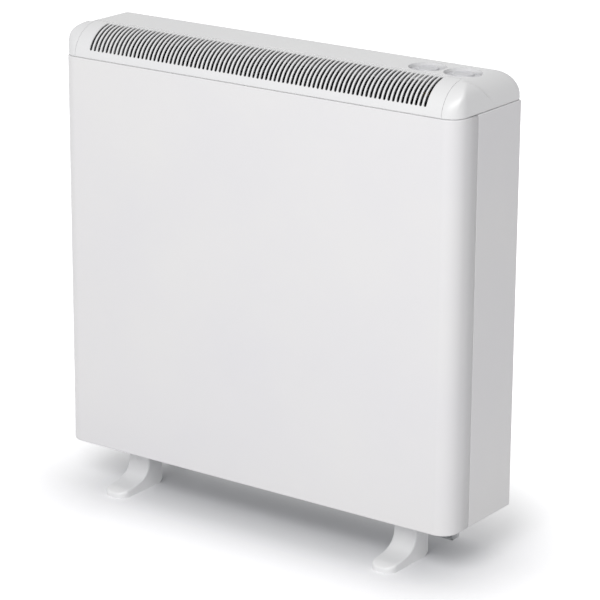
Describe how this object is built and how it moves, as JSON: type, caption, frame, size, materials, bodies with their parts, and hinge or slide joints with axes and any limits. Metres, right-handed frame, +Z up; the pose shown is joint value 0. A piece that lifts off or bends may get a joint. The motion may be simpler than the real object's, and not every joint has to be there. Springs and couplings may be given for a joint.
{
  "type": "electric storage heater",
  "caption": "Slim floor-standing storage heater: white steel case with rounded corners, slotted air grille, rotary dials on top, swept front feet, wall brackets and a brick core inside.",
  "frame": {"origin": "on the floor, under the middle of the heater's whole box: half way along the case, and half way from the toe tips to the wall brackets", "axes": "+X to the right along the front as seen by someone facing it, +Y from the front to the wall, +Z up"},
  "size_m": [0.705, 0.206, 0.73],
  "materials": {
    "white_paint": "satin powder coat",
    "white_plastic": "satin moulded",
    "dial_plastic": "satin moulded",
    "galvanised": "galvanised sheet",
    "plain_steel": "plain",
    "brass_parts": "plain",
    "storage_brick": "fired, matt",
    "insulation": "fibre board",
    "element_sheath": "heat stained",
    "black_plastic": "matt",
    "white_ceramic": "unglazed",
    "lead_sleeve": "matt"
  },
  "bodies": {
    "case": {"front_panel": "white_paint", "side_panel_left": "white_paint", "side_panel_right": "white_paint", "back_panel": "white_paint", "base_tray": "galvanised", "top_cover": "white_plastic", "front_grille": "white_plastic", "front_foot_left": "white_plastic", "front_foot_right": "white_plastic", "rear_leg_left": "galvanised", "rear_leg_right": "galvanised", "wall_bracket_left": "galvanised", "wall_bracket_right": "galvanised", "shield_front": "galvanised", "shield_top": "galvanised", "partition_left": "galvanised", "partition_right": "galvanised", "insulation_base": "insulation", "insulation_top": "insulation", "insulation_front": "insulation", "insulation_back": "insulation", "insulation_left": "insulation", "insulation_right": "insulation", "brick_front_1": "storage_brick", "brick_front_2": "storage_brick", "brick_front_3": "storage_brick", "brick_front_4": "storage_brick", "brick_front_5": "storage_brick", "brick_front_6": "storage_brick", "brick_back_1": "storage_brick", "brick_back_2": "storage_brick", "brick_back_3": "storage_brick", "brick_back_4": "storage_brick", "brick_back_5": "storage_brick", "brick_back_6": "storage_brick", "heating_element_1": "element_sheath", "heating_element_2": "element_sheath", "heating_element_3": "element_sheath", "live_busbar": "brass_parts", "neutral_busbar": "brass_parts", "damper_bearing": "galvanised", "control_bracket": "galvanised", "output_bush": "brass_parts", "charge_thermostat": "white_ceramic", "sensor_bulb": "plain_steel", "thermal_cutout": "black_plastic", "terminal_block": "white_ceramic", "cable_gland": "black_plastic", "earth_stud": "brass_parts", "supply_lead": "lead_sleeve", "cutout_lead": "lead_sleeve"},
    "output_dial": {"output_knob": "dial_plastic", "output_shaft": "plain_steel", "output_cam": "black_plastic"},
    "input_dial": {"input_knob": "dial_plastic", "input_shaft": "plain_steel"},
    "damper": {"damper_flap": "galvanised", "damper_shaft": "plain_steel", "damper_lever": "plain_steel"}
  },
  "joints": [
    {"name": "output_turn", "type": "hinge", "parent": "case", "child": "output_dial", "pos_m": [0.247, 0.002, 0.722], "axis": [0, 0, -1], "range_deg": [0, 270]},
    {"name": "input_turn", "type": "hinge", "parent": "case", "child": "input_dial", "pos_m": [0.3055, 0.002, 0.722], "axis": [0, 0, -1], "range_deg": [0, 270]},
    {"name": "damper_hinge", "type": "hinge", "parent": "case", "child": "damper", "pos_m": [0, 0.0171, 0.6641], "axis": [-1, 0, 0], "range_deg": [0, 45]}
  ],
  "couplings": [
    {"joint": "damper_hinge", "follows": "output_turn", "ratio": 0.16666}
  ]
}
